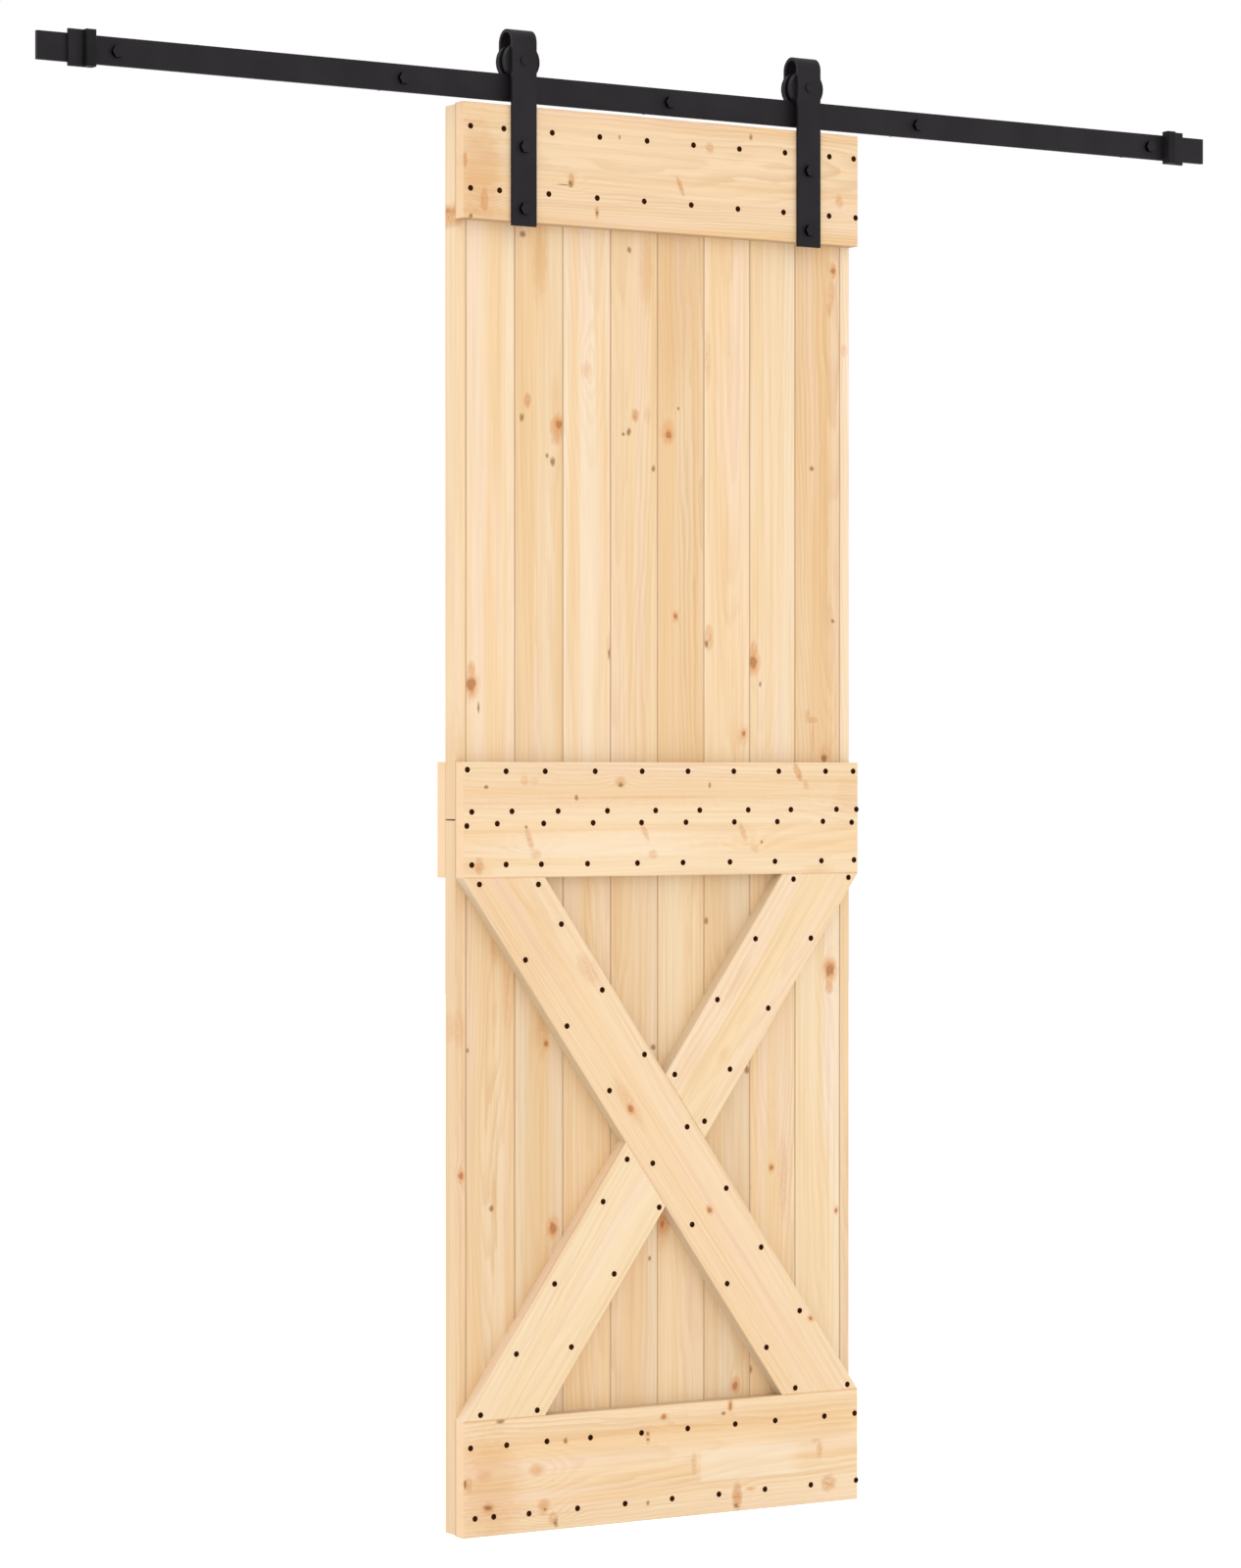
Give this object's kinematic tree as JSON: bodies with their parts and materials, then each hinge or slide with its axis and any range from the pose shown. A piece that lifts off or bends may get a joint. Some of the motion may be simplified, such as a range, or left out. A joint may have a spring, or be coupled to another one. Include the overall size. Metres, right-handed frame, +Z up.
{
  "type": "sliding door",
  "caption": "Pine sliding barn door with vertical boards, cross rails and a lower X brace, hung by bent steel straps and grooved wheels on a flat black track held off the wall.",
  "frame": {"origin": "centre of the middle stand-off's wall-side face", "axes": "+X along the track to the right, +Y into the wall, +Z up; the door's front faces -Y"},
  "size_m": [2.06, 0.0974, 2.2138],
  "materials": {
    "pine_board": "planed, unfinished",
    "pine_rail": "planed, unfinished",
    "pine_brace": "planed, unfinished",
    "black_steel": "matte black powder coat",
    "black_wheel": "satin black",
    "black_rubber": "matte"
  },
  "bodies": {
    "track": {"track_rail": "black_steel", "standoffs": "black_steel", "lag_bolts": "black_steel", "left_stop": "black_steel", "right_stop": "black_steel", "left_bumper": "black_rubber", "right_bumper": "black_rubber"},
    "door": {"upper_board_1": "pine_board", "upper_board_2": "pine_board", "upper_board_3": "pine_board", "upper_board_4": "pine_board", "upper_board_5": "pine_board", "upper_board_6": "pine_board", "upper_board_7": "pine_board", "upper_board_8": "pine_board", "lower_board_1": "pine_board", "lower_board_2": "pine_board", "lower_board_3": "pine_board", "lower_board_4": "pine_board", "lower_board_5": "pine_board", "lower_board_6": "pine_board", "lower_board_7": "pine_board", "lower_board_8": "pine_board", "upper_left_stile": "pine_board", "upper_right_stile": "pine_board", "lower_left_stile": "pine_board", "lower_right_stile": "pine_board", "top_rail": "pine_rail", "mid_rail_front": "pine_rail", "mid_rail_back": "pine_rail", "bottom_rail": "pine_rail", "brace_long": "pine_brace", "brace_upper": "pine_brace", "brace_lower": "pine_brace", "left_strap": "black_steel", "left_axle": "black_steel", "left_strap_bolts": "black_steel", "right_strap": "black_steel", "right_axle": "black_steel", "right_strap_bolts": "black_steel"},
    "left_wheel": {"left_wheel": "black_wheel"},
    "right_wheel": {"right_wheel": "black_wheel"}
  },
  "joints": [
    {"name": "door_slide", "type": "slide", "parent": "track", "child": "door", "axis": [1, 0, 0], "range_m": [-0.655, 0.665]},
    {"name": "left_wheel_spin", "type": "hinge", "parent": "door", "child": "left_wheel", "pos_m": [-0.263, -0.071, 0.039], "axis": [0, 1, 0], "range_deg": [-2060, 2060]},
    {"name": "right_wheel_spin", "type": "hinge", "parent": "door", "child": "right_wheel", "pos_m": [0.242, -0.071, 0.039], "axis": [0, 1, 0], "range_deg": [-2060, 2060]}
  ],
  "couplings": [
    {"joint": "left_wheel_spin", "follows": "door_slide", "rad_per_m": 53.476},
    {"joint": "right_wheel_spin", "follows": "door_slide", "rad_per_m": 53.476}
  ]
}
